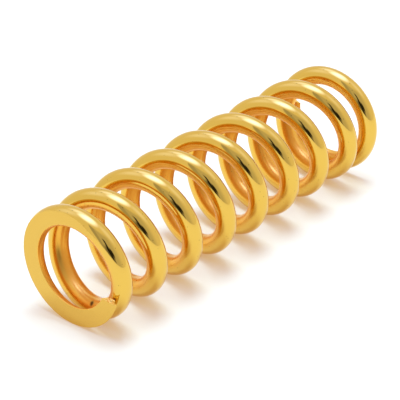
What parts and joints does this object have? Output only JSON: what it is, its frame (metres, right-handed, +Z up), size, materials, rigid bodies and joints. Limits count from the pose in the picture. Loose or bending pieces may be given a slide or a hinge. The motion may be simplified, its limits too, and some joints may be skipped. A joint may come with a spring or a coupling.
{
  "type": "coil spring",
  "caption": "Round-wire coil compression spring with closed, flat-ground ends and a bright gold-coloured plated finish.",
  "frame": {"origin": "on the surface the spring lies on, under the middle of its length", "axes": "+X along the coil axis, from the near ground end face to the far one; +Z up, square to the surface it lies on"},
  "size_m": [0.1868, 0.0544, 0.0545],
  "materials": {
    "plated_wire": "polished"
  },
  "bodies": {
    "near_end": {"near_end_coil": "plated_wire", "coil_2_bottom": "plated_wire"},
    "coil_2_back": {"coil_2_back": "plated_wire"},
    "coil_2_top": {"coil_2_top": "plated_wire"},
    "coil_2_front": {"coil_2_front": "plated_wire"},
    "coil_3_bottom": {"coil_3_bottom": "plated_wire"},
    "coil_3_back": {"coil_3_back": "plated_wire"},
    "coil_3_top": {"coil_3_top": "plated_wire"},
    "coil_3_front": {"coil_3_front": "plated_wire"},
    "coil_4_bottom": {"coil_4_bottom": "plated_wire"},
    "coil_4_back": {"coil_4_back": "plated_wire"},
    "coil_4_top": {"coil_4_top": "plated_wire"},
    "coil_4_front": {"coil_4_front": "plated_wire"},
    "coil_5_bottom": {"coil_5_bottom": "plated_wire"},
    "coil_5_back": {"coil_5_back": "plated_wire"},
    "coil_5_top": {"coil_5_top": "plated_wire"},
    "coil_5_front": {"coil_5_front": "plated_wire"},
    "coil_6_bottom": {"coil_6_bottom": "plated_wire"},
    "coil_6_back": {"coil_6_back": "plated_wire"},
    "coil_6_top": {"coil_6_top": "plated_wire"},
    "coil_6_front": {"coil_6_front": "plated_wire"},
    "coil_7_bottom": {"coil_7_bottom": "plated_wire"},
    "coil_7_back": {"coil_7_back": "plated_wire"},
    "coil_7_top": {"coil_7_top": "plated_wire"},
    "coil_7_front": {"coil_7_front": "plated_wire"},
    "coil_8_bottom": {"coil_8_bottom": "plated_wire"},
    "coil_8_back": {"coil_8_back": "plated_wire"},
    "coil_8_top": {"coil_8_top": "plated_wire"},
    "coil_8_front": {"coil_8_front": "plated_wire"},
    "coil_9_bottom": {"coil_9_bottom": "plated_wire"},
    "far_end": {"far_end_coil": "plated_wire"}
  },
  "joints": [
    {"name": "compression", "type": "slide", "parent": "near_end", "child": "far_end", "axis": [1, 0, 0], "range_m": [-0.07, 0], "stiffness_N_per_m": 91600},
    {"name": "coil_2_back_slide", "type": "slide", "parent": "near_end", "child": "coil_2_back", "axis": [1, 0, 0], "range_m": [-0.00255, 0]},
    {"name": "coil_2_top_slide", "type": "slide", "parent": "coil_2_back", "child": "coil_2_top", "axis": [1, 0, 0], "range_m": [-0.00255, 0]},
    {"name": "coil_2_front_slide", "type": "slide", "parent": "coil_2_top", "child": "coil_2_front", "axis": [1, 0, 0], "range_m": [-0.00255, 0]},
    {"name": "coil_3_bottom_slide", "type": "slide", "parent": "coil_2_front", "child": "coil_3_bottom", "axis": [1, 0, 0], "range_m": [-0.00255, 0]},
    {"name": "coil_3_back_slide", "type": "slide", "parent": "coil_3_bottom", "child": "coil_3_back", "axis": [1, 0, 0], "range_m": [-0.00255, 0]},
    {"name": "coil_3_top_slide", "type": "slide", "parent": "coil_3_back", "child": "coil_3_top", "axis": [1, 0, 0], "range_m": [-0.00255, 0]},
    {"name": "coil_3_front_slide", "type": "slide", "parent": "coil_3_top", "child": "coil_3_front", "axis": [1, 0, 0], "range_m": [-0.00255, 0]},
    {"name": "coil_4_bottom_slide", "type": "slide", "parent": "coil_3_front", "child": "coil_4_bottom", "axis": [1, 0, 0], "range_m": [-0.00255, 0]},
    {"name": "coil_4_back_slide", "type": "slide", "parent": "coil_4_bottom", "child": "coil_4_back", "axis": [1, 0, 0], "range_m": [-0.00255, 0]},
    {"name": "coil_4_top_slide", "type": "slide", "parent": "coil_4_back", "child": "coil_4_top", "axis": [1, 0, 0], "range_m": [-0.00255, 0]},
    {"name": "coil_4_front_slide", "type": "slide", "parent": "coil_4_top", "child": "coil_4_front", "axis": [1, 0, 0], "range_m": [-0.00255, 0]},
    {"name": "coil_5_bottom_slide", "type": "slide", "parent": "coil_4_front", "child": "coil_5_bottom", "axis": [1, 0, 0], "range_m": [-0.00255, 0]},
    {"name": "coil_5_back_slide", "type": "slide", "parent": "coil_5_bottom", "child": "coil_5_back", "axis": [1, 0, 0], "range_m": [-0.00255, 0]},
    {"name": "coil_5_top_slide", "type": "slide", "parent": "coil_5_back", "child": "coil_5_top", "axis": [1, 0, 0], "range_m": [-0.00255, 0]},
    {"name": "coil_5_front_slide", "type": "slide", "parent": "coil_5_top", "child": "coil_5_front", "axis": [1, 0, 0], "range_m": [-0.00255, 0]},
    {"name": "coil_6_bottom_slide", "type": "slide", "parent": "coil_5_front", "child": "coil_6_bottom", "axis": [1, 0, 0], "range_m": [-0.00255, 0]},
    {"name": "coil_6_back_slide", "type": "slide", "parent": "coil_6_bottom", "child": "coil_6_back", "axis": [1, 0, 0], "range_m": [-0.00255, 0]},
    {"name": "coil_6_top_slide", "type": "slide", "parent": "coil_6_back", "child": "coil_6_top", "axis": [1, 0, 0], "range_m": [-0.00255, 0]},
    {"name": "coil_6_front_slide", "type": "slide", "parent": "coil_6_top", "child": "coil_6_front", "axis": [1, 0, 0], "range_m": [-0.00255, 0]},
    {"name": "coil_7_bottom_slide", "type": "slide", "parent": "coil_6_front", "child": "coil_7_bottom", "axis": [1, 0, 0], "range_m": [-0.00255, 0]},
    {"name": "coil_7_back_slide", "type": "slide", "parent": "coil_7_bottom", "child": "coil_7_back", "axis": [1, 0, 0], "range_m": [-0.00255, 0]},
    {"name": "coil_7_top_slide", "type": "slide", "parent": "coil_7_back", "child": "coil_7_top", "axis": [1, 0, 0], "range_m": [-0.00255, 0]},
    {"name": "coil_7_front_slide", "type": "slide", "parent": "coil_7_top", "child": "coil_7_front", "axis": [1, 0, 0], "range_m": [-0.00255, 0]},
    {"name": "coil_8_bottom_slide", "type": "slide", "parent": "coil_7_front", "child": "coil_8_bottom", "axis": [1, 0, 0], "range_m": [-0.00255, 0]},
    {"name": "coil_8_back_slide", "type": "slide", "parent": "coil_8_bottom", "child": "coil_8_back", "axis": [1, 0, 0], "range_m": [-0.00255, 0]},
    {"name": "coil_8_top_slide", "type": "slide", "parent": "coil_8_back", "child": "coil_8_top", "axis": [1, 0, 0], "range_m": [-0.00255, 0]},
    {"name": "coil_8_front_slide", "type": "slide", "parent": "coil_8_top", "child": "coil_8_front", "axis": [1, 0, 0], "range_m": [-0.00255, 0]},
    {"name": "coil_9_bottom_slide", "type": "slide", "parent": "coil_8_front", "child": "coil_9_bottom", "axis": [1, 0, 0], "range_m": [-0.00255, 0]}
  ],
  "couplings": [
    {"joint": "coil_2_back_slide", "follows": "compression", "ratio": 0.035714},
    {"joint": "coil_2_top_slide", "follows": "compression", "ratio": 0.035714},
    {"joint": "coil_2_front_slide", "follows": "compression", "ratio": 0.035714},
    {"joint": "coil_3_bottom_slide", "follows": "compression", "ratio": 0.035714},
    {"joint": "coil_3_back_slide", "follows": "compression", "ratio": 0.035714},
    {"joint": "coil_3_top_slide", "follows": "compression", "ratio": 0.035714},
    {"joint": "coil_3_front_slide", "follows": "compression", "ratio": 0.035714},
    {"joint": "coil_4_bottom_slide", "follows": "compression", "ratio": 0.035714},
    {"joint": "coil_4_back_slide", "follows": "compression", "ratio": 0.035714},
    {"joint": "coil_4_top_slide", "follows": "compression", "ratio": 0.035714},
    {"joint": "coil_4_front_slide", "follows": "compression", "ratio": 0.035714},
    {"joint": "coil_5_bottom_slide", "follows": "compression", "ratio": 0.035714},
    {"joint": "coil_5_back_slide", "follows": "compression", "ratio": 0.035714},
    {"joint": "coil_5_top_slide", "follows": "compression", "ratio": 0.035714},
    {"joint": "coil_5_front_slide", "follows": "compression", "ratio": 0.035714},
    {"joint": "coil_6_bottom_slide", "follows": "compression", "ratio": 0.035714},
    {"joint": "coil_6_back_slide", "follows": "compression", "ratio": 0.035714},
    {"joint": "coil_6_top_slide", "follows": "compression", "ratio": 0.035714},
    {"joint": "coil_6_front_slide", "follows": "compression", "ratio": 0.035714},
    {"joint": "coil_7_bottom_slide", "follows": "compression", "ratio": 0.035714},
    {"joint": "coil_7_back_slide", "follows": "compression", "ratio": 0.035714},
    {"joint": "coil_7_top_slide", "follows": "compression", "ratio": 0.035714},
    {"joint": "coil_7_front_slide", "follows": "compression", "ratio": 0.035714},
    {"joint": "coil_8_bottom_slide", "follows": "compression", "ratio": 0.035714},
    {"joint": "coil_8_back_slide", "follows": "compression", "ratio": 0.035714},
    {"joint": "coil_8_top_slide", "follows": "compression", "ratio": 0.035714},
    {"joint": "coil_8_front_slide", "follows": "compression", "ratio": 0.035714},
    {"joint": "coil_9_bottom_slide", "follows": "compression", "ratio": 0.035714}
  ]
}
